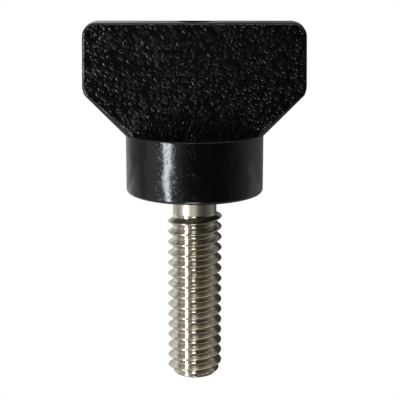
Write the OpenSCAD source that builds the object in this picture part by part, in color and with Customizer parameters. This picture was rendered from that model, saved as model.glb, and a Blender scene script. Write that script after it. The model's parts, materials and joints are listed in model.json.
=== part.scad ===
// Thumb screw: a moulded plastic head with one flat wing on a round hub, moulded around
// the anchor of a threaded stainless stud.
// It lies the way it comes to rest: on the hub's rim and the end of the thread, here with
// its wing level. The origin is the centre of the hub's seating face, and +Z is up.
// The parts are drawn standing (stud down, wing up, seating face at Z 0) and then laid down.

/* [Wing] */
// Width across the wing, where it is widest
wing_w = 25.4; // [20:0.1:34]
// How much narrower the wing is at its top
wing_taper = 0.15; // [0:0.05:2]
// Height of the head, from the seating face to the top of the wing
head_h = 19.6; // [16:0.1:30]
// Thickness of the wing where it stands on the hub
wing_foot_t = 6.6; // [5.5:0.1:9]
// Thickness of the wing at its top
wing_top_t = 4.6; // [4:0.1:7]
// Radius of the wing's top corners
top_corner_r = 1.6; // [0.8:0.05:3]
// Radius of the wing's lower, outer corners
low_corner_r = 2.4; // [0.8:0.05:3]
// Rounding of the edges round both faces
edge_r = 0.3; // [0.1:0.05:0.5]
// Mould draft of the wing's outline, in degrees from the parting plane
draft = 2.3; // [0:0.1:4]

/* [Hub] */
// Diameter of the hub
hub_d = 15.875; // [13:0.125:22]
// Height of the hub, from the seating face to the shelf the wing stands on
hub_h = 7.0; // [5.5:0.1:12]
// Rounding between the hub's side and its seating face
seat_edge_r = 0.4; // [0.1:0.1:1]
// How far below the shelf the hub starts to flare out to the wing's width
flare_drop = 0.35; // [0.1:0.05:0.6]
// Angle between the flare and the seating face
flare_angle = 46; // [40:0.5:60]

/* [Top recess] */
// Thickness of the top beside the blind recess that a locating pin leaves in it
recess_wall = 0.45; // [0.35:0.05:1]
// Depth of that recess
recess_depth = 1.8; // [0.5:0.1:4]

/* [Stud] */
// Major diameter of the thread (1/4-20 UNC, right hand)
thread_d = 6.35; // [5:0.05:8]
// Length of the stud below the seating face
stud_len = 22.225; // [12:0.025:50]
// Diameter of the plain neck between the head and the thread
neck_d = 5.1; // [4:0.05:6]
// Length of the plain neck below the seating face
neck_len = 3.0; // [1:0.1:6]
// Diameter of the flat at the stud's chamfered end
tip_d = 4.8; // [3:0.1:5]

/* [Anchor] */
// Diameter of the knurled anchor inside the hub
anchor_d = 8.0; // [7:0.1:9]
// Thickness of the plastic between the seating face and the anchor
anchor_depth = 1.1; // [0.6:0.1:1.5]
// Thickness of the plastic between the anchor and the shelf on top of the hub
anchor_cover = 1.2; // [0.8:0.1:2]
// Number of ridges round the knurl
knurl_count = 24; // [16:1:32]
// Depth of the knurl
knurl_depth = 0.35; // [0.2:0.05:0.5]
// Width of the ring groove that keeps the anchor from pulling out
lock_w = 1.2; // [0.8:0.1:2]
// Diameter at the bottom of that groove
lock_d = 6.2; // [5.5:0.1:6.5]

/* [Hidden] */
$fn = 96;

hub_r = hub_d / 2;
thread_r = thread_d / 2;
half_w = wing_w / 2;
tip_chamfer = (thread_d - tip_d) / 2;
thread_start = (thread_d - neck_d) / 2 * tan(30);
recess_d = wing_top_t - 2 * recess_wall;
anchor_len = hub_h - anchor_depth - anchor_cover;

// The flare is a cone, which would be as wide as the wing at this height.
flare_z = hub_h - flare_drop + (half_w - hub_r) * tan(flare_angle);
// Its narrow end is this far inside the hub.
flare_sink = wing_foot_t / 2;
// Both faces lean in by this angle towards the top.
face_lean = atan((wing_foot_t - wing_top_t) / 2 / (head_h - hub_h));
// The parting plane is as thin as this at the middle of the wing's outline.
parting_t = 0.02;

// Half the wing's thickness at a height above the seating face.
function half_t(z) = wing_foot_t / 2 - (z - hub_h) * tan(face_lean);

// Each corner of the wing's outline is [centre x, centre z, radius], for the right half.
top_corner = [half_w - wing_taper / 2 - top_corner_r, head_h - top_corner_r, top_corner_r];
low_corner = [half_w - low_corner_r,
              flare_z + low_corner_r * (1 / cos(flare_angle) - tan(flare_angle)), low_corner_r];
// The foot's corners are under the shelf, and steep enough to stay outside the flare.
foot_corner = [hub_r - low_corner_r, hub_h - low_corner_r, low_corner_r];

// Where a corner's rounded disc sits at a face: its middle, and its radius there.
function disc_y(c) = half_t(c[1]) - edge_r / cos(face_lean);
function disc_r(c) = c[2] - half_t(c[1]) * tan(draft);

// Lying down, the stud's axis leans by lean, so that the end of the thread touches the
// plane that the hub's rim rests on.
rim_run = hub_r - seat_edge_r - thread_r;
rim_reach = stud_len - tip_chamfer + seat_edge_r;
lean = atan(rim_run / rim_reach) + asin(seat_edge_r / norm([rim_run, rim_reach]));

// Turns a standing part to the way the screw lies: wing to +Y, stud to -Y.
module laid() {
    rotate([lean - 90, 0, 0]) children();
}

// The rounded disc that one corner of the wing has at the face on one side of it.
module face_disc(c, side) {
    translate([c[0], side * disc_y(c), c[1]])
        rotate([-side * (90 - face_lean), 0, 0])
            rotate_extrude() translate([disc_r(c) - edge_r, 0]) circle(edge_r, $fn = 24);
}

// The full-width disc that the same corner has on the parting plane.
module parting_disc(c) {
    translate([c[0], 0, c[1]]) rotate([90, 0, 0]) cylinder(parting_t, r = c[2], center = true);
}

// A flat slab with the wing's rounded outline and edges.
module slab() {
    hull() for (c = [top_corner, low_corner, foot_corner], right = [0, 1])
        mirror([right, 0, 0]) {
            parting_disc(c, $fn = 32);
            for (side = [-1, 1]) face_disc(c, side, $fn = 32);
        }
}

// The round underside that the wing flares out on, as if it had been turned.
module flare() {
    narrow_r = hub_r - flare_sink;
    narrow_z = hub_h - flare_drop - flare_sink * tan(flare_angle);
    flare_h = head_h + 1 - narrow_z;
    translate([0, 0, narrow_z])
        cylinder(flare_h, narrow_r, narrow_r + flare_h / tan(flare_angle));
}

module wing() {
    intersection() {
        slab();
        flare();
    }
}

module hub() {
    rotate_extrude() {
        translate([0, seat_edge_r]) square([hub_r, hub_h - seat_edge_r]);
        square([hub_r - seat_edge_r, hub_h]);
        translate([hub_r - seat_edge_r, seat_edge_r]) circle(seat_edge_r);
    }
}

module top_recess() {
    translate([0, 0, head_h - recess_depth]) cylinder(recess_depth + 1, d = recess_d);
}

// Everything of the stud that is inside the head.
module anchor() {
    cylinder(anchor_depth, d = neck_d);
    translate([0, 0, anchor_depth]) difference() {
        linear_extrude(anchor_len) knurl_outline();
        translate([0, 0, (anchor_len - lock_w) / 2]) difference() {
            cylinder(lock_w, d = anchor_d + 1);
            translate([0, 0, -1]) cylinder(lock_w + 2, d = lock_d);
        }
    }
}

module knurl_outline() {
    polygon([for (i = [0 : 2 * knurl_count - 1])
        let (r = anchor_d / 2 - (i % 2) * knurl_depth, a = i * 180 / knurl_count)
            [r * cos(a), r * sin(a)]]);
}

// The stud outside the head: neck, thread at its major diameter, chamfered end.
module shank() {
    rotate_extrude() polygon([
        [0, 0],
        [neck_d / 2, 0],
        [neck_d / 2, -neck_len],
        [thread_r, -neck_len - thread_start],
        [thread_r, -stud_len + tip_chamfer],
        [tip_d / 2, -stud_len],
        [0, -stud_len]]);
}

module head() {
    color("#1b1c1e") laid() difference() {
        union() {
            hub();
            wing();
        }
        top_recess();
        anchor();
    }
}

module stud() {
    color("#c9c5ba") laid() union() {
        shank();
        anchor();
    }
}

head();
stud();
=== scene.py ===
"""Thumb screw: black moulded wing head, rolled stainless stud, lying as it comes to rest."""

import json
import logging
import math
from abc import ABC, abstractmethod
from dataclasses import dataclass, field
from enum import Enum
from typing import Any

import bmesh
import bpy
import numpy as np
from bmesh.types import BMesh, BMVert
from bpy.types import ID, Material, Mesh, Node, NodeSocket, NodeTree, Object
from mathutils import Matrix, Vector
from mathutils.geometry import delaunay_2d_cdt


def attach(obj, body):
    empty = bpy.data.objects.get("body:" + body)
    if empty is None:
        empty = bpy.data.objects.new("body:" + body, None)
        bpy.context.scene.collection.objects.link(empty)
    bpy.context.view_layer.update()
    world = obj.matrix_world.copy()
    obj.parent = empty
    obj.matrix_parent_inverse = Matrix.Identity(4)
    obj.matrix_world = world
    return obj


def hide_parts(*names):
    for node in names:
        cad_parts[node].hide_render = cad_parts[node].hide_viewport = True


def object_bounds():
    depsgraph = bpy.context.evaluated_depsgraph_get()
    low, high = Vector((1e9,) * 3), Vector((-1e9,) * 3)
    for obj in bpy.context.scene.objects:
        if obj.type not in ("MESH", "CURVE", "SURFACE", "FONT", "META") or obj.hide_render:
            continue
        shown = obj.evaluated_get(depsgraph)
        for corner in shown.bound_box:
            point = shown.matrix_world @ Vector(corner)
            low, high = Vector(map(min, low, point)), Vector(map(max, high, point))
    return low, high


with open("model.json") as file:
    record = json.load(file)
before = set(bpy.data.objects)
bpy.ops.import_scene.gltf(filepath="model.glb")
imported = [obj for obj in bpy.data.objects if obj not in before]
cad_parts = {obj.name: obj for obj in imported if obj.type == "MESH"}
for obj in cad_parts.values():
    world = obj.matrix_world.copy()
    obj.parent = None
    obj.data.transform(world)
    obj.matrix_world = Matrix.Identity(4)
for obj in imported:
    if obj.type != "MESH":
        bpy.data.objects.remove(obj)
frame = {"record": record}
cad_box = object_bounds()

log = logging.getLogger("thumb_screw")

MM = 0.001
"""Metres in a millimetre. Every size below is in millimetres unless it says otherwise."""

Pair = tuple[float, float]
"""Two numbers that belong together, such as a least and a greatest one."""

Tones = tuple[Pair, ...]
"""Places and their brightness, in order."""


def linear(colour: str) -> tuple[float, float, float, float]:
    """Turns an sRGB hex colour to the linear one that the shaders use.

    Args:
        colour: Six hex digits after a hash sign.

    Returns:
        Red, green, blue and an alpha of 1.
    """
    parts = [int(colour[i : i + 2], 16) / 255 for i in (1, 3, 5)]
    red, green, blue = (
        c / 12.92 if c <= 0.04045 else ((c + 0.055) / 1.055) ** 2.4 for c in parts
    )
    return red, green, blue, 1.0


def ease(share: np.ndarray) -> np.ndarray:
    """Smooths a share that runs from 0 to 1, so that it starts and ends level."""
    return share * share * (3 - 2 * share)


def add_node(
    tree: NodeTree, kind: str, links: dict[Any, Any] | None = None, **settings: Any
) -> Node:
    """Adds a node, with its settings and what goes into its sockets.

    Args:
        tree: The node tree that gets the node.
        kind: The node's type name.
        links: For each socket, by name or number, a value or the output that feeds it.
        settings: Properties of the node by name.

    Returns:
        The new node.
    """
    node = tree.nodes.new(kind)
    for name, value in settings.items():
        setattr(node, name, value)
    for name, value in (links or {}).items():
        if isinstance(value, NodeSocket):
            tree.links.new(value, node.inputs[name])
        else:
            node.inputs[name].default_value = value
    return node


def tone_ramp(tree: NodeTree, share: NodeSocket, tones: Tones) -> NodeSocket:
    """Adds a ramp of greys.

    Args:
        tree: The node tree that gets it.
        share: What moves along the ramp, from 0 at the first tone to 1 at the last.
        tones: The tones, with places in any unit.

    Returns:
        The ramp's colour.
    """
    node = add_node(tree, "ShaderNodeValToRGB", {"Fac": share})
    ramp = node.color_ramp
    low, high = tones[0][0], tones[-1][0]
    for number, (place, tone) in enumerate(tones):
        spot = (place - low) / (high - low)
        if number < 2:
            stop = ramp.elements[number]
            stop.position = spot
        else:
            stop = ramp.elements.new(spot)
        stop.color = (tone, tone, tone, 1)
    return node.outputs["Color"]


def tones_along(
    tree: NodeTree, vector: NodeSocket, axis: str, tones: Tones, unit: float = 1.0
) -> NodeSocket:
    """Adds a ramp of greys along one axis of a place or direction.

    Args:
        tree: The node tree that gets it.
        vector: The place or direction.
        axis: Which of its axes: X, Y or Z.
        tones: The tones.
        unit: The unit of their places, in the vector's own.

    Returns:
        The ramp's colour.
    """
    part = add_node(tree, "ShaderNodeSeparateXYZ", {"Vector": vector}).outputs[axis]
    low, high = tones[0][0] * unit, tones[-1][0] * unit
    share = add_node(
        tree, "ShaderNodeMapRange", {"Value": part, "From Min": low, "From Max": high}
    )
    return tone_ramp(tree, share.outputs["Result"], tones)


def as_mesh(name: str, built: BMesh) -> Mesh:
    """Turns a working mesh to a named one.

    Args:
        name: The mesh's name.
        built: The working mesh, which is used up.

    Returns:
        The named mesh.
    """
    data = bpy.data.meshes.new(name)
    built.to_mesh(data)
    built.free()
    return data


def put_in_scene(name: str, data: ID) -> Object:
    """Makes an object from its data and puts it in the scene.

    Args:
        name: The object's name.
        data: A mesh, a light or a camera.

    Returns:
        The object.
    """
    made = bpy.data.objects.new(name, data)
    bpy.context.scene.collection.objects.link(made)
    return made


def arc(
    middle: Pair, radius: float, start: float, end: float, steps: int
) -> list[Pair]:
    """Gives points on an arc.

    Args:
        middle: Its middle.
        radius: Its radius.
        start: Angle of its first point, in degrees.
        end: Angle of its last point.
        steps: How many equal steps it takes.

    Returns:
        The points, one more than the steps.
    """
    return [
        (middle[0] + radius * math.cos(a), middle[1] + radius * math.sin(a))
        for a in np.radians(np.linspace(start, end, steps + 1))
    ]


def lathe(name: str, profile: list[Pair], columns: int) -> Mesh:
    """Turns a profile round the standing screw's axis and closes both its ends.

    Args:
        name: The mesh's name.
        profile: Radius and height of each point, from the lower end outwards and up.
        columns: Points round one turn.

    Returns:
        The closed mesh, in millimetres.
    """
    mesh = bmesh.new()
    angles = np.arange(columns) / columns * 2 * math.pi
    rings = [
        [mesh.verts.new((r * math.cos(a), r * math.sin(a), z)) for a in angles]
        for r, z in profile
    ]
    for low, high in zip(rings, rings[1:]):
        for i in range(columns):
            j = (i + 1) % columns
            mesh.faces.new((low[i], low[j], high[j], high[i]))
    mesh.faces.new(rings[0][::-1])
    mesh.faces.new(rings[-1])
    bmesh.ops.recalc_face_normals(mesh, faces=mesh.faces)
    return as_mesh(name, mesh)


class Slot(Enum):
    """The finishes that the part's record names."""

    PLASTIC = "head_plastic"
    STEEL = "stud_steel"


class Side(Enum):
    """The two broad faces of the wing, by the sign of their direction through it."""

    UPPER = -1
    UNDER = 1


@dataclass(frozen=True)
class Lie:
    """How the screw lies: its own axes in the row's frame.

    The standing screw has X along the wing and Z up the stud.

    Attributes:
        stud_axis: Direction in which the stud points away from the head.
    """

    stud_axis: tuple[float, float, float]

    @property
    def turn(self) -> Matrix:
        """The rotation from the standing screw to the lying one."""
        up = -Vector(self.stud_axis).normalized()
        across = Vector((1, 0, 0))
        return Matrix((across, up.cross(across), up)).transposed()

    def placed(self, points: np.ndarray) -> np.ndarray:
        """Turns standing points in millimetres to lying ones in metres."""
        return points @ np.array(self.turn).T * MM


# ---------------------------------------------------------------- finishes

NYLON_IOR = 1.53
"""How strongly nylon bends light, which sets how bright its highlights are."""

QUARTER_TURN = 0.25
"""A quarter turn, in the whole turns that a highlight's rotation is given in."""


@dataclass(frozen=True)
class Finish(ABC):
    """What a piece's surface is made of.

    Attributes:
        name: The material's name.
    """

    name: str

    @abstractmethod
    def surface(self, tree: NodeTree) -> NodeSocket:
        """Fills the node tree.

        Args:
            tree: The material's empty node tree.

        Returns:
            The output that the surface is made from.
        """

    def material(self) -> Material:
        """Builds the material.

        Returns:
            A material that shows this finish.
        """
        made = bpy.data.materials.new(self.name)
        made.use_nodes = True
        made.node_tree.nodes.clear()
        surface = self.surface(made.node_tree)
        add_node(made.node_tree, "ShaderNodeOutputMaterial", {"Surface": surface})
        return made


@dataclass(frozen=True)
class GrainedNylon(Finish):
    """Black glass-filled nylon from an etched mould.

    The etched steel leaves a dull pebble grain, so the broad faces stay near black and
    only the rims of the pebbles catch the light.

    Attributes:
        colour: Its colour.
        roughness: How dull the skin between the pebbles is.
        pebble: Distance between pebbles, as on a coarse leather grain.
        relief: Depth of the rim round each pebble.
        rim: Height of a pebble by the distance from its middle, in shares of the spacing.
        fibre: Size of the faint unevenness that the glass fibres leave.
        fibre_depth: Its depth.
        fibre_share: How strongly it shows.
    """

    name: str = "black_nylon_etched_mould"
    colour: str = "#050507"
    roughness: float = 0.16
    pebble: float = 0.42
    relief: float = 0.022
    rim: Tones = (
        (0.0, 0.35), (0.26, 0.45), (0.38, 1.0), (0.52, 0.1), (0.75, 0.0), (1.0, 0.0),
    )
    fibre: float = 0.11
    fibre_depth: float = 0.01
    fibre_share: float = 0.8

    def surface(self, tree: NodeTree) -> NodeSocket:
        """Gives near-black plastic with pebble rims and a fine unevenness."""
        place = add_node(tree, "ShaderNodeTexCoord").outputs["Object"]
        cells = add_node(
            tree,
            "ShaderNodeTexVoronoi",
            {"Vector": place, "Scale": 1 / (self.pebble * MM), "Randomness": 1.0},
        )
        height = tone_ramp(tree, cells.outputs["Distance"], self.rim)
        rims = add_node(
            tree,
            "ShaderNodeBump",
            {"Strength": 1.0, "Distance": self.relief * MM, "Height": height},
        )
        fine = add_node(
            tree,
            "ShaderNodeTexNoise",
            {"Vector": place, "Scale": 1 / (self.fibre * MM), "Detail": 3.0},
        )
        bump = {
            "Strength": self.fibre_share,
            "Distance": self.fibre_depth * MM,
            "Height": fine.outputs["Fac"],
            "Normal": rims.outputs["Normal"],
        }
        uneven = add_node(tree, "ShaderNodeBump", bump).outputs["Normal"]
        look = {
            "Base Color": linear(self.colour),
            "Roughness": self.roughness,
            "IOR": NYLON_IOR,
            "Normal": uneven,
        }
        return add_node(tree, "ShaderNodeBsdfPrincipled", look).outputs["BSDF"]


@dataclass(frozen=True)
class PolishedNylon(Finish):
    """The same nylon from the polished part of the mould.

    It is glossy, but the glass fibres under the skin break the edges of its highlights
    into sparkles.

    Attributes:
        colour: Its colour.
        roughness: How dull the skin is.
        sink: Size of the shallow waves that the cooling plastic sinks into.
        sink_depth: Their depth.
        fibre: Size of the bumps over the glass fibres, drawn coarser so that they show.
        fibre_depth: Their height.
        fibre_tops: The noise stands up as a bump between these two levels.
    """

    name: str = "black_nylon_polished_mould"
    colour: str = "#070709"
    roughness: float = 0.13
    sink: float = 3.2
    sink_depth: float = 0.16
    fibre: float = 0.22
    fibre_depth: float = 0.006
    fibre_tops: Pair = (0.52, 0.72)

    def surface(self, tree: NodeTree) -> NodeSocket:
        """Gives glossy black plastic with a fibrous skin."""
        place = add_node(tree, "ShaderNodeTexCoord").outputs["Object"]
        sinks = add_node(
            tree,
            "ShaderNodeTexNoise",
            {"Vector": place, "Scale": 1 / (self.sink * MM), "Detail": 1.0},
        )
        wavy = add_node(
            tree,
            "ShaderNodeBump",
            {"Strength": 1.0, "Distance": self.sink_depth * MM, "Height": sinks.outputs["Fac"]},
        )
        fibres = add_node(
            tree,
            "ShaderNodeTexNoise",
            {"Vector": place, "Scale": 1 / (self.fibre * MM), "Detail": 3.0},
        )
        # Only the tops of the noise stand up, as single bumps with smooth skin between them.
        low, high = self.fibre_tops
        tops = add_node(
            tree,
            "ShaderNodeMapRange",
            {"Value": fibres.outputs["Fac"], "From Min": low, "From Max": high},
            interpolation_type="SMOOTHSTEP",
        )
        bump = {
            "Strength": 1.0,
            "Distance": self.fibre_depth * MM,
            "Height": tops.outputs["Result"],
            "Normal": wavy.outputs["Normal"],
        }
        skin = add_node(tree, "ShaderNodeBump", bump).outputs["Normal"]
        look = {
            "Base Color": linear(self.colour),
            "Roughness": self.roughness,
            "IOR": NYLON_IOR,
            "Normal": skin,
        }
        return add_node(tree, "ShaderNodeBsdfPrincipled", look).outputs["BSDF"]


@dataclass(frozen=True)
class WorkedStainless(Finish):
    """Stainless steel that was rolled or turned.

    Rolling burnishes the metal along the thread, so it is bright, with faint lines
    round it. Turning leaves the neck duller, with coarser lines.

    Attributes:
        lie: How the screw lies, which turns the lines round the stud's axis.
        colour: Its colour.
        roughness: How dull it is.
        line: Spacing of the lines round it, coarser than real ones, so that they show.
        streak: How far a line runs before it fades.
        relief: Depth of the lines.
        pull: How far the finest lines, too fine to draw, pull a highlight out along the stud.
    """

    lie: Lie
    colour: str
    roughness: float
    line: float
    relief: float
    pull: float
    streak: float = 2.5

    def surface(self, tree: NodeTree) -> NodeSocket:
        """Gives bright steel with faint lines round the stud."""
        place = add_node(tree, "ShaderNodeTexCoord").outputs["Object"]
        standing = add_node(
            tree,
            "ShaderNodeMapping",
            {"Vector": place, "Rotation": self.lie.turn.inverted().to_euler()},
        )
        wide, fine = 1 / (self.streak * MM), 1 / (self.line * MM)
        stretched = add_node(
            tree,
            "ShaderNodeMapping",
            {"Vector": standing.outputs["Vector"], "Scale": (wide, wide, fine)},
        )
        lines = add_node(
            tree,
            "ShaderNodeTexNoise",
            {"Vector": stretched.outputs["Vector"], "Scale": 1.0, "Detail": 3.0},
        )
        grooves = add_node(
            tree,
            "ShaderNodeBump",
            {"Strength": 1.0, "Distance": self.relief * MM, "Height": lines.outputs["Fac"]},
        )
        facing = add_node(tree, "ShaderNodeNewGeometry").outputs["Normal"]
        axis = self.lie.turn @ Vector((0.0, 0.0, 1.0))
        around = add_node(
            tree, "ShaderNodeVectorMath", {0: axis, 1: facing}, operation="CROSS_PRODUCT"
        )
        look = {
            "Base Color": linear(self.colour),
            "Metallic": 1.0,
            "Roughness": self.roughness,
            "Anisotropic": self.pull,
            "Anisotropic Rotation": QUARTER_TURN,
            "Tangent": around.outputs["Vector"],
            "Normal": grooves.outputs["Normal"],
        }
        return add_node(tree, "ShaderNodeBsdfPrincipled", look).outputs["BSDF"]


@dataclass(frozen=True)
class LightTable(Finish):
    """Opal acrylic over lamps, as under small product shots: white, and lit from below.

    Attributes:
        glow: How bright it is, where 1 shows as white.
    """

    name: str = "opal_acrylic_light_table"
    glow: float = 1.0

    def surface(self, tree: NodeTree) -> NodeSocket:
        """Gives an even white glow."""
        white = {"Color": (1, 1, 1, 1), "Strength": self.glow}
        return add_node(tree, "ShaderNodeEmission", white).outputs["Emission"]


# A glowing card painted with light and shadow: the table as the key light lights it from the
# left, with the screw's shadow to its right.
@dataclass(frozen=True)
class PaintedReflectionCard(Finish):
    """Grey card that the screw mirrors instead of the table, so that its rim stays darker.

    Attributes:
        tones: How bright it is at distances to the right of the screw, in millimetres. These are
            painted light and shadow: brighter where the key light would fall on the table,
            darker where the screw's shadow would lie.
    """

    tones: Tones

    def surface(self, tree: NodeTree) -> NodeSocket:
        """Gives a grey glow that changes from left to right."""
        place = add_node(tree, "ShaderNodeTexCoord").outputs["Object"]
        # Painted light and painted shadow: the glow follows how the lit table and the screw's
        # shadow on it would look in reflections.
        tone = tones_along(tree, place, "X", self.tones, MM)
        grey = {"Color": tone, "Strength": 1.0}
        return add_node(tree, "ShaderNodeEmission", grey).outputs["Emission"]


# ---------------------------------------------------------------- the screw


@dataclass(frozen=True)
class Grain:
    """The pebble grain of the wing's faces, as a height over each point of a face.

    Attributes:
        spacing: Mean distance between pebbles.
        radius: Smallest and largest radius of a pebble.
        height: Smallest and largest height of a pebble.
        bulge: Power of a pebble's profile: the higher, the flatter its top.
        fade: Width of the plain border along a face's edge.
        seed: Start of the random numbers.
    """

    spacing: float = 0.34
    radius: Pair = (0.12, 0.25)
    height: Pair = (0.007, 0.0195)
    bulge: int = 3
    fade: float = 0.08
    seed: int = 20

    def heights(self, points: np.ndarray, border: np.ndarray) -> np.ndarray:
        """Measures the grain, which is cut into the face and never stands over it.

        Args:
            points: Places on the face, two columns.
            border: Distance of each place from the face's edge.

        Returns:
            Height of the surface at each place, zero or less.
        """
        rng = np.random.default_rng(self.seed)
        # There are spare cells on each side, so that every point has pebbles all round it.
        before, after = 2, 3
        low = points.min(0) - before * self.spacing
        count = np.ceil((points.max(0) - low) / self.spacing).astype(int) + after
        cells = np.stack(np.meshgrid(*map(np.arange, count), indexing="ij"), -1)
        middle = low + (cells + 0.5) * self.spacing
        middle += rng.uniform(-0.5, 0.5, middle.shape) * self.spacing
        radius = rng.uniform(*self.radius, middle.shape[:2])
        height = rng.uniform(*self.height, middle.shape[:2])
        cell = np.floor((points - low) / self.spacing).astype(int)
        surface = np.zeros(len(points))
        for step_x in (-1, 0, 1):
            for step_y in (-1, 0, 1):
                i = np.clip(cell[:, 0] + step_x, 0, count[0] - 1)
                j = np.clip(cell[:, 1] + step_y, 0, count[1] - 1)
                away = np.linalg.norm(points - middle[i, j], axis=1) / radius[i, j]
                dome = height[i, j] * np.clip(1 - away**self.bulge, 0, None)
                surface = np.maximum(surface, dome)
        return (surface - self.height[1]) * ease(np.clip(border / self.fade, 0, 1))


@dataclass(frozen=True)
class WingOutline:
    """The wing's outline on the plane where the mould's halves part.

    The lower sides follow the flare, a cone that starts on the hub just under the shelf.

    Attributes:
        half_w: Half the wing's greatest width.
        taper: How much less that half is at the top.
        height: Height of the head.
        low_corner_r: Radius of the outer, lower corners.
        top_corner_r: Radius of the top corners.
        hub_r: Radius of the hub.
        flare_z: Height at which the flare leaves the hub.
        flare_angle: Angle between the flare and the seating face, in degrees.
        foot_z: How far down the wing goes inside the hub.
        foot_corner_r: Radius of its corners there.
        spacing: Distance between the outline's points on its corners.
        stretch: How many times as far apart they are between the corners.
    """

    half_w: float = 12.7
    taper: float = 0.075
    height: float = 19.6
    low_corner_r: float = 2.4
    top_corner_r: float = 1.6
    hub_r: float = 7.9375
    flare_z: float = 6.65
    flare_angle: float = 46.0
    foot_z: float = 4.6
    foot_corner_r: float = 1.6
    spacing: float = 0.12
    stretch: float = 1.5

    @property
    def flare_out(self) -> np.ndarray:
        """Direction out of the flare on the right: across, up."""
        lean = math.radians(self.flare_angle)
        return np.array((math.sin(lean), -math.cos(lean)))

    def points(self) -> tuple[np.ndarray, np.ndarray]:
        """Walks round the outline, anticlockwise from the middle of its lower end.

        Returns:
            The points, across and up, and the direction out of the outline at each.
        """
        lean = math.radians(self.flare_angle)
        wide_z = self.flare_z + (self.half_w - self.hub_r) * math.tan(lean)
        low_z = wide_z + self.low_corner_r * (1 / math.cos(lean) - math.tan(lean))
        low = np.array((self.half_w - self.low_corner_r, low_z))
        inset = self.taper + self.top_corner_r
        top = np.array((self.half_w - inset, self.height - self.top_corner_r))
        foot_z = self.foot_z + self.foot_corner_r
        foot_x = self.hub_r + (
            (foot_z - self.flare_z) * math.cos(lean) - self.foot_corner_r
        ) / math.sin(lean)
        side = top - low
        turn = math.atan2(side[1], side[0]) - math.acos(
            (self.low_corner_r - self.top_corner_r) / np.hypot(*side)
        )
        right = [np.array((0.0, self.foot_z, 0.0, -1.0))]
        for middle, radius, start, end in (
            ((foot_x, foot_z), self.foot_corner_r, -math.pi / 2, lean - math.pi / 2),
            (low, self.low_corner_r, lean - math.pi / 2, turn),
            (top, self.top_corner_r, turn, math.pi / 2),
        ):
            for angle in np.linspace(
                start, end, math.ceil((end - start) * radius / self.spacing) + 1
            ):
                out = np.array((math.cos(angle), math.sin(angle)))
                right.append(np.concatenate((np.array(middle) + radius * out, out)))
        right.append(np.array((0.0, self.height, 0.0, 1.0)))
        walk = [right[0]]
        for a, b in zip(right, right[1:]):
            count = math.ceil(np.hypot(*(b - a)[:2]) / (self.stretch * self.spacing))
            walk += [a + (b - a) * i / count for i in range(1, count + 1)]
        half = np.array(walk)
        whole = np.concatenate((half, half[-2:0:-1] * (-1, 1, -1, 1)))
        return whole[:, :2], whole[:, 2:]

    def over_flare(self, points: np.ndarray, out: np.ndarray) -> np.ndarray:
        """Measures how far inside the flare's straight side each point lies.

        Args:
            points: The outline's points.
            out: The direction out of the outline at each.

        Returns:
            The distance along that direction. Where it barely faces the flare, there is
            room to spare.
        """
        least, roomy = 0.1, 9.0
        place = np.stack((np.abs(points[:, 0]) - self.hub_r, points[:, 1] - self.flare_z), 1)
        facing = np.stack((np.abs(out[:, 0]), out[:, 1]), 1) @ self.flare_out
        depth = -(place @ self.flare_out)
        return np.where(facing > least, depth / np.maximum(facing, least), roomy)


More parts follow.
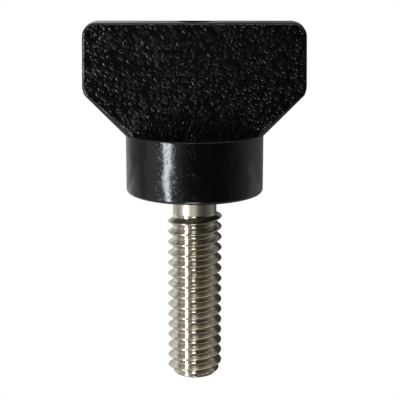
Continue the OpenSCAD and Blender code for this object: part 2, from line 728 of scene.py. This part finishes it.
@dataclass
class Head:
    """The moulded head: a wing with grained faces on a turned hub, in one skin.

    Attributes:
        lie: How the screw lies.
        outline: The wing's outline.
        foot_half: Half the wing's thickness at the shelf on top of the hub.
        top_half: Half its thickness at its top.
        draft: Draft of the wing's rim, in degrees.
        edge: Rounding of the edges round both faces.
        soft_edge: The same beside the flare, where it is wider.
        hub_h: Height of the hub.
        hub_edges: Rounding at the hub's seating face and at its shelf.
        neck_r: Radius of the stud's neck.
        neck_depth: How deep the neck goes into the hub.
        recess_r: Radius of the blind recess in the top.
        recess_depth: Its depth.
        mesh_step: Distance between the points that carry the grain.
        side_rows: Points from the parting plane to the rounded edge.
        edge_rows: Points over the rounded edge.
        etched: Strips of that edge, counted from the face, that the etching runs on over.
        hub_steps: Steps round the hub's two rounded edges.
        columns: Points round the hub and round the recess.
        crease: Edges sharper than this stay sharp, in degrees.
        corner: The same for edges of a grained face, whose own pebbles are steep.
        evenness: How much large faces count in the shading, where 50 is as much as small ones.
        grain: The pebbles on the wing's faces.
        grained: The finish of those faces.
        polished: The finish of the rest.
    """

    lie: Lie
    outline: WingOutline = field(default_factory=WingOutline)
    foot_half: float = 3.3
    top_half: float = 2.3
    draft: float = 2.3
    edge: float = 0.34
    soft_edge: float = 0.9
    hub_h: float = 7.0
    hub_edges: Pair = (0.4, 0.15)
    neck_r: float = 2.55
    neck_depth: float = 1.1
    recess_r: float = 1.85
    recess_depth: float = 1.8
    mesh_step: float = 0.1
    side_rows: int = 7
    edge_rows: int = 7
    etched: int = 3
    hub_steps: tuple[int, int] = (8, 4)
    columns: tuple[int, int] = (192, 64)
    crease: float = 38.0
    corner: float = 65.0
    evenness: int = 90
    grain: Grain = field(default_factory=Grain)
    grained: GrainedNylon = field(default_factory=GrainedNylon)
    polished: PolishedNylon = field(default_factory=PolishedNylon)

    @property
    def slope(self) -> float:
        """How much the wing thins on each side for each millimetre of height."""
        return (self.foot_half - self.top_half) / (self.outline.height - self.hub_h)

    def half_t(self, height: np.ndarray) -> np.ndarray:
        """Gives half the wing's thickness at each height over the seating face."""
        return self.foot_half - (height - self.hub_h) * self.slope

    def rim(self) -> np.ndarray:
        """Shapes the wing's rim, from one face over the parting plane to the other.

        Returns:
            A grid of points: round the outline, then across the rim.
        """
        walk, out = self.outline.points()
        flare = self.outline
        tangent = flare.half_w - flare.low_corner_r * (1 - flare.flare_out[0])
        share = (tangent - np.abs(walk[:, 0])) / (tangent - flare.hub_r)
        level = -0.01
        soft = np.where(out[:, 1] < level, np.clip(share, 0, 1), 0)
        radius = self.edge + (self.soft_edge - self.edge) * soft
        spare = flare.over_flare(walk, out)
        # Inside the hub the flare counts as no narrower than this, as nothing shows there.
        least_r = 3.0
        across = np.maximum(np.abs(walk[:, 0]), least_r)

        def inset(y: np.ndarray) -> np.ndarray:
            """Measures how far inside the outline the rim is at y from the parting plane."""
            cone = y * y * flare.flare_out[0] / (2 * across) - spare
            return np.maximum(y * math.tan(math.radians(self.draft)), cone)

        # The side ends where the edge starts, which depends on how far in it is by then.
        passes = 3
        flat_end = self.half_t(walk[:, 1]) - radius
        for _ in range(passes):
            reach = inset(flat_end) + radius
            flat_end = self.half_t(walk[:, 1] - out[:, 1] * reach) - radius
        shares = np.linspace(0, 1, self.side_rows)
        profile = [(flat_end * k, inset(flat_end * k)) for k in shares]
        for bend in np.radians(np.linspace(0, 90, self.edge_rows + 1)[1:]):
            profile.append(
                (
                    flat_end + radius * math.sin(bend),
                    inset(flat_end) + radius * (1 - math.cos(bend)),
                )
            )
        sides = [(-y, depth) for y, depth in reversed(profile[1:])] + profile
        grid = [
            np.stack(
                (walk[:, 0] - out[:, 0] * depth, y, walk[:, 1] - out[:, 1] * depth), 1
            )
            for y, depth in sides
        ]
        return np.stack(grid, 1)

    def wing(self) -> Mesh:
        """Builds the wing, closed inside the hub.

        Returns:
            The wing's mesh, standing, in millimetres.
        """
        grid = self.rim()
        count, wide = grid.shape[:2]
        mesh = bmesh.new()
        verts = [[mesh.verts.new(p) for p in row] for row in grid]
        for i in range(count):
            j = (i + 1) % count
            for k in range(wide - 1):
                face = mesh.faces.new(
                    (verts[i][k], verts[i][k + 1], verts[j][k + 1], verts[j][k])
                )
                face.material_index = int(min(k, wide - 2 - k) < self.etched)
        for side, column in ((Side.UPPER, 0), (Side.UNDER, wide - 1)):
            self.fill_face(mesh, [row[column] for row in verts], side)
        bmesh.ops.recalc_face_normals(mesh, faces=mesh.faces)
        return as_mesh("wing", mesh)

    def fill_face(self, mesh: BMesh, loop: list[BMVert], side: Side) -> None:
        """Fills one face of the wing with grained skin.

        Args:
            mesh: The wing, which is open there.
            loop: The points round the opening.
            side: Which face.
        """
        lean = math.atan(self.slope)
        along = np.array((1.0, 0.0, 0.0))
        out = np.array((0.0, side.value * math.cos(lean), math.sin(lean)))
        up = np.cross(out, along) * side.value * -1
        rim = np.array([v.co for v in loop])
        flat = np.stack((rim @ along, rim @ up), 1)
        level = float((rim @ out).mean())
        inner, border = self.lattice(flat)
        height = self.grain.heights(inner, border)
        places = (
            np.outer(inner[:, 0], along)
            + np.outer(inner[:, 1], up)
            + np.outer(level + height, out)
        )
        number = len(loop)
        pairs = [(i, (i + 1) % number) for i in range(number)]
        every = [Vector(p) for p in np.concatenate((flat, inner))]
        only_inside, merge_distance = 1, 1e-5
        result = delaunay_2d_cdt(every, pairs, [], only_inside, merge_distance)
        known = [*loop, *(mesh.verts.new(p) for p in places)]
        owner = [known[source[0]] for source in result[3]]
        for triangle in result[2]:
            mesh.faces.new([owner[i] for i in triangle]).material_index = 1
        log.info("head: %s face has %d triangles", side.name.lower(), len(result[2]))

    def lattice(self, outline: np.ndarray) -> tuple[np.ndarray, np.ndarray]:
        """Spreads points evenly inside a face's outline, over the shelf.

        Args:
            outline: Its corners, two columns.

        Returns:
            The points, and the distance of each from the outline.
        """
        low, high = outline.min(0), outline.max(0)
        # A few rows go on under the shelf, where the hub hides how they end.
        hidden_rows = 3
        low[1] = self.hub_h - hidden_rows * self.mesh_step
        row_share = math.sqrt(0.75)
        rows = np.arange(low[1], high[1], self.mesh_step * row_share)
        columns = np.arange(low[0], high[0], self.mesh_step)
        points = np.stack(np.meshgrid(columns, rows), -1)
        points[1::2, :, 0] += self.mesh_step / 2
        points = points.reshape(-1, 2)
        inside = np.zeros(len(points), bool)
        distance = np.full(len(points), np.inf)
        for a, b in zip(outline, np.roll(outline, -1, 0)):
            run = b - a
            crosses = (a[1] > points[:, 1]) != (b[1] > points[:, 1])
            if run[1]:
                at = a[0] + (points[:, 1] - a[1]) * run[0] / run[1]
                inside ^= crosses & (points[:, 0] < at)
            share = np.clip((points - a) @ run / (run @ run), 0, 1)
            gap = np.linalg.norm(points - a - share[:, None] * run, axis=1)
            distance = np.minimum(distance, gap)
        least_gap = 0.45
        kept = inside & (distance > self.mesh_step * least_gap)
        return points[kept], distance[kept]

    def hub(self) -> Mesh:
        """Builds the hub, with the hole that the stud's neck fills.

        Returns:
            The hub's mesh, standing, in millimetres.
        """
        seat, shelf = self.hub_edges
        radius = self.outline.hub_r
        profile = [
            (self.neck_r, self.neck_depth),
            (self.neck_r, 0.0),
            *arc((radius - seat, seat), seat, -90, 0, self.hub_steps[0]),
            *arc((radius - shelf, self.hub_h - shelf), shelf, 0, 90, self.hub_steps[1]),
        ]
        return lathe("hub", profile, self.columns[0])

    def recess(self) -> Mesh:
        """Builds what the blind recess takes out of the top, and a little over it."""
        top, over = self.outline.height, 1.0
        profile = [(self.recess_r, top - self.recess_depth), (self.recess_r, top + over)]
        return lathe("recess", profile, self.columns[1])

    def build(self) -> Object:
        """Builds the head and dresses it.

        Returns:
            The head, which stands for the CAD node.
        """
        coats = (self.polished.material(), self.grained.material())
        parts = []
        for data in (self.wing(), self.hub(), self.recess()):
            for coat in coats:
                data.materials.append(coat)
            parts.append(put_in_scene(data.name, data))
        body = parts[0]
        for tool, action in zip(parts[1:], ("UNION", "DIFFERENCE")):
            step = body.modifiers.new(action.lower(), "BOOLEAN")
            step.solver, step.operation, step.object = "MANIFOLD", action, tool
        graph = bpy.context.evaluated_depsgraph_get()
        data = bpy.data.meshes.new_from_object(body.evaluated_get(graph))
        for part in parts:
            bpy.data.objects.remove(part)
        mesh = bmesh.new()
        mesh.from_mesh(data)
        many_sided = [f for f in mesh.faces if len(f.verts) > 4]
        bmesh.ops.triangulate(mesh, faces=many_sided)
        mesh.transform(self.lie.turn.to_4x4() @ Matrix.Scale(MM, 4))
        for face in mesh.faces:
            face.smooth = True
        for edge in mesh.edges:
            grained = any(f.material_index == 1 for f in edge.link_faces)
            limit = self.corner if grained else self.crease
            edge.smooth = edge.calc_face_angle(0) < math.radians(limit)
        mesh.to_mesh(data)
        mesh.free()
        data.name = "moulded_head"
        head = put_in_scene("moulded_head", data)
        weighted = head.modifiers.new("even_planes", "WEIGHTED_NORMAL")
        weighted.keep_sharp = True
        weighted.weight = self.evenness
        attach(head, "root")
        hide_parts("head")
        return head


@dataclass
class Stud:
    """The stud: plain neck, rolled right-hand thread and chamfered end, in one skin.

    Attributes:
        lie: How the screw lies.
        major_r: Radius over the crests.
        root_r: Radius in the roots.
        pitch: Distance from crest to crest.
        crest_flat: Width of the flat on a crest.
        root_flat: Width of the rounded root.
        neck_r: Radius of the plain neck.
        neck_len: Length of the neck under the head.
        sunk: How far the neck goes on inside the head.
        length: Length of the stud under the head.
        tip_r: Radius of the flat end inside the chamfer.
        first_crest: Height of a crest on the -X side, which sets where the thread starts.
        runout: Turns over which the first thread grows to its full height.
        root_blend: Share of the thread's height over which a flank bends into the root.
        crest_blend: Share of it above which a crest is lowered, and by what share of the rest.
        steps: Points over one pitch.
        columns: Points round one turn.
    """

    lie: Lie
    major_r: float = 3.175
    root_r: float = 2.5
    pitch: float = 1.27
    crest_flat: float = 0.05
    root_flat: float = 0.2
    neck_r: float = 2.55
    neck_len: float = 2.45
    sunk: float = 1.0
    length: float = 22.225
    tip_r: float = 2.4
    first_crest: float = -4.86
    runout: float = 0.4
    root_blend: float = 0.16
    crest_blend: Pair = (0.9, 0.03)
    steps: int = 20
    columns: int = 96

    @property
    def coats(self) -> tuple[WorkedStainless, WorkedStainless]:
        """The finishes of the rolled thread and of the turned neck."""
        rolled = WorkedStainless(
            "stainless_steel_rolled", self.lie, "#cec8b8", 0.2, line=0.08, relief=0.001, pull=0.9
        )
        turned = WorkedStainless(
            "stainless_steel_turned", self.lie, "#c0b7a6", 0.42, line=0.3, relief=0.012, pull=0.4
        )
        return rolled, turned

    def thread(self, phase: np.ndarray) -> np.ndarray:
        """Gives the thread's profile as a share of its height.

        Args:
            phase: Distance from the crest's middle, in pitches.

        Returns:
            0 in the root and 1 on the crest.
        """
        away = np.abs((phase + 0.5) % 1 - 0.5) * self.pitch
        run = (self.pitch - self.crest_flat - self.root_flat) / 2
        flank = np.minimum(1 - (away - self.crest_flat / 2) / run, 1.0)
        # Each flank flattens out towards the root, and the crest is barely rounded.
        low, (high, drop) = self.root_blend, self.crest_blend
        rounded = np.where(flank < low, low * np.exp((flank - low) / low), flank)
        return np.clip(rounded - drop * np.clip(flank - high, 0, None), 0, 1)

    def radius(self, height: np.ndarray, phase: np.ndarray) -> np.ndarray:
        """Gives the stud's radius.

        Args:
            height: Height over the seating face, negative down the stud.
            phase: Distance from the nearest crest's middle, in pitches.

        Returns:
            The radius at each place.
        """
        below = -self.neck_len - height
        grown = ease(np.clip(below / (self.runout * self.pitch), 0, 1))
        floor = self.neck_r + (self.root_r - self.neck_r) * grown
        crest = self.thread(phase) * grown
        r = floor + (self.major_r - floor) * crest
        # The chamfer at the end is at 45 degrees.
        r = np.minimum(r, self.tip_r + (height + self.length))
        return np.where(below < 0, self.neck_r, r)

    def build(self) -> Object:
        """Builds the stud and dresses it.

        Returns:
            The stud, which stands for the CAD node.
        """
        spare = 2
        turns = math.ceil((self.length + self.sunk) / self.pitch) + spare
        rows = np.arange(turns * self.steps + 1)
        columns = np.arange(self.columns)
        row, column = np.meshgrid(rows, columns, indexing="ij")
        angle = column / self.columns * 2 * math.pi
        phase = row / self.steps
        # Rows follow the thread, so that a crest is one unbroken line.
        start = self.first_crest - self.pitch / 2
        start += self.pitch * math.ceil((self.sunk - start) / self.pitch)
        height = start - phase * self.pitch + column / self.columns * self.pitch
        r = self.radius(height, phase)
        points = np.stack((r * np.cos(angle), r * np.sin(angle), height), -1)
        laid = self.lie.placed(points.reshape(-1, 3)).reshape(points.shape)
        mesh = bmesh.new()
        verts = [[mesh.verts.new(p) for p in line] for line in laid]
        for i in range(len(rows) - 1):
            for j in range(self.columns):
                last = j == self.columns - 1
                if last and i < self.steps:
                    continue
                k = i - self.steps if last else i
                across = (j + 1) % self.columns
                quad = (
                    verts[i][j],
                    verts[i + 1][j],
                    verts[k + 1][across],
                    verts[k][across],
                )
                face = mesh.faces.new(quad)
                face.smooth = True
                plain = height[i : i + 2, j].max() > -self.neck_len
                face.material_index = int(plain)
        self.trim(mesh, self.sunk, up=True)
        self.trim(mesh, -self.length, up=False)
        bmesh.ops.recalc_face_normals(mesh, faces=mesh.faces)
        stud = put_in_scene("rolled_stud", as_mesh("rolled_stud", mesh))
        for coat in self.coats:
            stud.data.materials.append(coat.material())
        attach(stud, "root")
        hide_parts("stud")
        return stud

    def trim(self, mesh: BMesh, height: float, up: bool) -> None:
        """Cuts the skin square across the axis and closes it with a flat end.

        Args:
            mesh: The stud's skin.
            height: Where to cut, over the seating face.
            up: Whether what lies above the cut goes, or what lies below it.
        """
        out = Vector(np.array(self.lie.turn) @ (0.0, 0.0, 1.0 if up else -1.0))
        at = Vector(self.lie.placed(np.array((0.0, 0.0, height))))
        # Both are in metres, and far smaller than any feature.
        snap, near = 1e-8, 1e-7
        bmesh.ops.bisect_plane(
            mesh,
            geom=[*mesh.verts, *mesh.edges, *mesh.faces],
            dist=snap,
            plane_co=at,
            plane_no=out,
            clear_outer=True,
        )
        rim = [
            e
            for e in mesh.edges
            if e.is_boundary and all(abs((v.co - at).dot(out)) < near for v in e.verts)
        ]
        closed = bmesh.ops.edgeloop_fill(mesh, edges=rim)
        for face in closed["faces"]:
            for edge in face.edges:
                edge.smooth = False


# ---------------------------------------------------------------- the studio


@dataclass
class Softbox:
    """One rectangular soft light.

    Attributes:
        name: Its name.
        towards: Direction from the screw to the light.
        distance: How far off it stands, in metres.
        size: Its size round the stud's axis and along it, in metres.
        radiance: How bright its face is, where 1 shows as white.
        colour: Its colour.
    """

    name: str
    towards: tuple[float, float, float]
    distance: float
    size: Pair
    radiance: float
    colour: str = "#ffffff"

    def build(self) -> None:
        """Stands the light and turns it to the origin of the row's frame."""
        data = bpy.data.lights.new(self.name, "AREA")
        data.shape = "RECTANGLE"
        data.size, data.size_y = self.size
        # A flat light gives this power when each point of its face is that bright.
        data.energy = self.radiance * math.pi * self.size[0] * self.size[1]
        data.color = linear(self.colour)[:3]
        light = put_in_scene(self.name, data)
        way = Vector(self.towards).normalized()
        light.location = way * self.distance
        light.rotation_mode = "QUATERNION"
        along = Vector((0, 1, 0))
        high = (along - along.dot(way) * way).normalized()
        turn = Matrix((high.cross(way), high, way)).transposed()
        light.rotation_quaternion = turn.to_quaternion()


@dataclass
class Studio:
    """The light table, the tent, the soft lights and the camera over them.

    Attributes:
        lie: How the screw lies.
        table_size: Width of the table, in metres.
        camera_place: The camera on the standing screw.
        camera_pitch: How far it looks down on the standing screw, in degrees.
        lens: Its focal length.
        sensor: Width of its sensor.
        clip: Nearest and farthest that it sees, in metres.
        tent: How bright the tent is, by the sine of the angle from straight up, left to right.
        ends: How bright it is besides, by its direction from the stud's end to the head's.
        table: The finish of the table.
        card_drop: How far the cards are under the table, in metres, so that they don't touch.
        cards: The finishes of the card under the head and of the one under the stud. Both glow
            with painted light from the left and the screw's painted shadow to the right.
        lights: The soft lights.
    """

    lie: Lie
    table_size: float = 1.6
    camera_place: tuple[float, float, float] = (0.62, -126.8, 27.35)
    camera_pitch: float = 12.65
    lens: float = 100.0
    sensor: float = 36.0
    clip: Pair = (0.01, 10.0)
    tent: Tones = (
        (-1.0, 0.5), (-0.97, 0.6), (-0.9, 0.42), (-0.66, 0.4), (-0.47, 0.26), (-0.28, 0.1),
        (-0.1, 0.025), (0.3, 0.012), (0.75, 0.016), (0.9, 0.06), (0.98, 0.13), (1.0, 0.22),
    )
    ends: Tones = (
        (-1.0, 0.3), (-0.8, 0.25), (-0.6, 0.02), (-0.45, 0.0), (0.1, 0.0), (0.4, 0.02),
        (0.7, 0.2), (1.0, 0.3),
    )
    table: LightTable = field(default_factory=LightTable)
    card_drop: float = 0.0001
    # The cards' tones are painted light and shadow: bright where the key light would fall left
    # of the screw, dark where its shadow would fall on the right.
    cards: tuple[PaintedReflectionCard, ...] = (
        PaintedReflectionCard(
            "card_beside_head",
            (
                (-60, 0.25), (-24, 0.3), (-14, 0.6), (-8, 0.4), (0, 0.26), (8, 0.17),
                (14, 0.19), (24, 0.3), (60, 0.25),
            ),
        ),
        PaintedReflectionCard(
            "card_beside_stud",
            (
                (-60, 0.25), (-30, 0.5), (-11, 1.0), (-5, 0.7), (-2, 0.25), (2, 0.06),
                (9, 0.05), (14, 0.3), (30, 0.5), (60, 0.25),
            ),
        ),
    )
    lights: tuple[Softbox, ...] = (
        Softbox("key_left", (-0.73, -0.2, 0.65), 0.5, (0.095, 0.38), 17.0, "#eff5ff"),
        Softbox("box_behind", (-0.06, 0.78, 0.62), 0.5, (0.14, 0.16), 2.1),
        Softbox("box_front", (-0.06, -0.78, 0.62), 0.5, (0.14, 0.24), 7.0),
        Softbox("fill_right", (0.44, 0.66, 0.6), 0.5, (0.5, 0.3), 0.75, "#ffe2c0"),
    )

    def build_sheet(self, name: str, drop: float, span: Pair, coat: Material) -> Object:
        """Builds a level sheet under the screw.

        Args:
            name: Its name.
            drop: How far it is below what the screw rests on, in metres.
            span: Where it starts and ends along the screw, in metres.
            coat: Its material.

        Returns:
            The sheet.
        """
        half = self.table_size / 2
        level = cad_box[0].z - drop
        mesh = bmesh.new()
        corners = [(-half, span[0]), (half, span[0]), (half, span[1]), (-half, span[1])]
        mesh.faces.new([mesh.verts.new((x, y, level)) for x, y in corners])
        sheet = put_in_scene(name, as_mesh(name, mesh))
        sheet.data.materials.append(coat)
        return sheet

    def build_tables(self) -> None:
        """Builds the table, which is only seen, and the cards, which are only mirrored."""
        half = self.table_size / 2
        table = self.build_sheet("light_table", 0.0, (-half, half), self.table.material())
        table.visible_glossy = table.visible_diffuse = table.visible_shadow = False
        # The cards stand in for the lit table in reflections, with painted light and the screw's
        # painted shadow.
        for card, span in zip(self.cards, ((0.0, half), (-half, 0.0))):
            sheet = self.build_sheet(card.name, self.card_drop, span, card.material())
            sheet.visible_camera = sheet.visible_shadow = False

    def build_tent(self) -> None:
        """Builds the tent round the table, as the world: pale at its sides, dark overhead."""
        world = bpy.data.worlds.new("tent")
        bpy.context.scene.world = world
        world.use_nodes = True
        tree = world.node_tree
        tree.nodes.clear()
        way = add_node(tree, "ShaderNodeTexCoord").outputs["Generated"]
        across = {0: way, 1: (1.0, 0.0, 1.0)}
        level = add_node(tree, "ShaderNodeVectorMath", across, operation="MULTIPLY")
        flat = {0: level.outputs["Vector"]}
        turned = add_node(tree, "ShaderNodeVectorMath", flat, operation="NORMALIZE")
        round_it = tones_along(tree, turned.outputs["Vector"], "X", self.tent)
        along_it = tones_along(tree, way, "Y", self.ends)
        both = add_node(
            tree, "ShaderNodeVectorMath", {0: round_it, 1: along_it}, operation="ADD"
        )
        grey = {"Color": both.outputs["Vector"], "Strength": 1.0}
        back = add_node(tree, "ShaderNodeBackground", grey).outputs["Background"]
        add_node(tree, "ShaderNodeOutputWorld", {"Surface": back})

    def build_camera(self) -> None:
        """Stands the camera where it sees the screw as if it stood upright."""
        data = bpy.data.cameras.new("camera")
        data.lens = self.lens
        data.sensor_width = self.sensor
        data.clip_start, data.clip_end = self.clip
        camera = put_in_scene("camera", data)
        pitch = math.radians(self.camera_pitch)
        level = Matrix(
            (
                (1, 0, 0),
                (0, math.sin(pitch), -math.cos(pitch)),
                (0, math.cos(pitch), math.sin(pitch)),
            )
        )
        camera.location = self.lie.placed(np.array(self.camera_place))
        camera.rotation_mode = "QUATERNION"
        camera.rotation_quaternion = (self.lie.turn @ level).to_quaternion()
        bpy.context.scene.camera = camera

    def build(self) -> None:
        """Builds the table, the tent, the lights and the camera."""
        self.build_tables()
        self.build_tent()
        self.build_camera()
        for light in self.lights:
            light.build()
        bpy.context.scene.view_settings.view_transform = "Standard"


def main() -> None:
    """Builds the screw and the studio."""
    logging.basicConfig(level=logging.INFO, format="%(message)s")
    lie = Lie(tuple(frame["record"]["mounts"][0]["axis"]))
    studio = Studio(lie)
    studio.build()
    log.info("studio: table, tent, %d lights and camera", len(studio.lights))
    head = Head(lie).build()
    log.info("head: %d faces", len(head.data.polygons))
    stud = Stud(lie).build()
    log.info("stud: %d faces", len(stud.data.polygons))


if __name__ == "__main__":
    main()
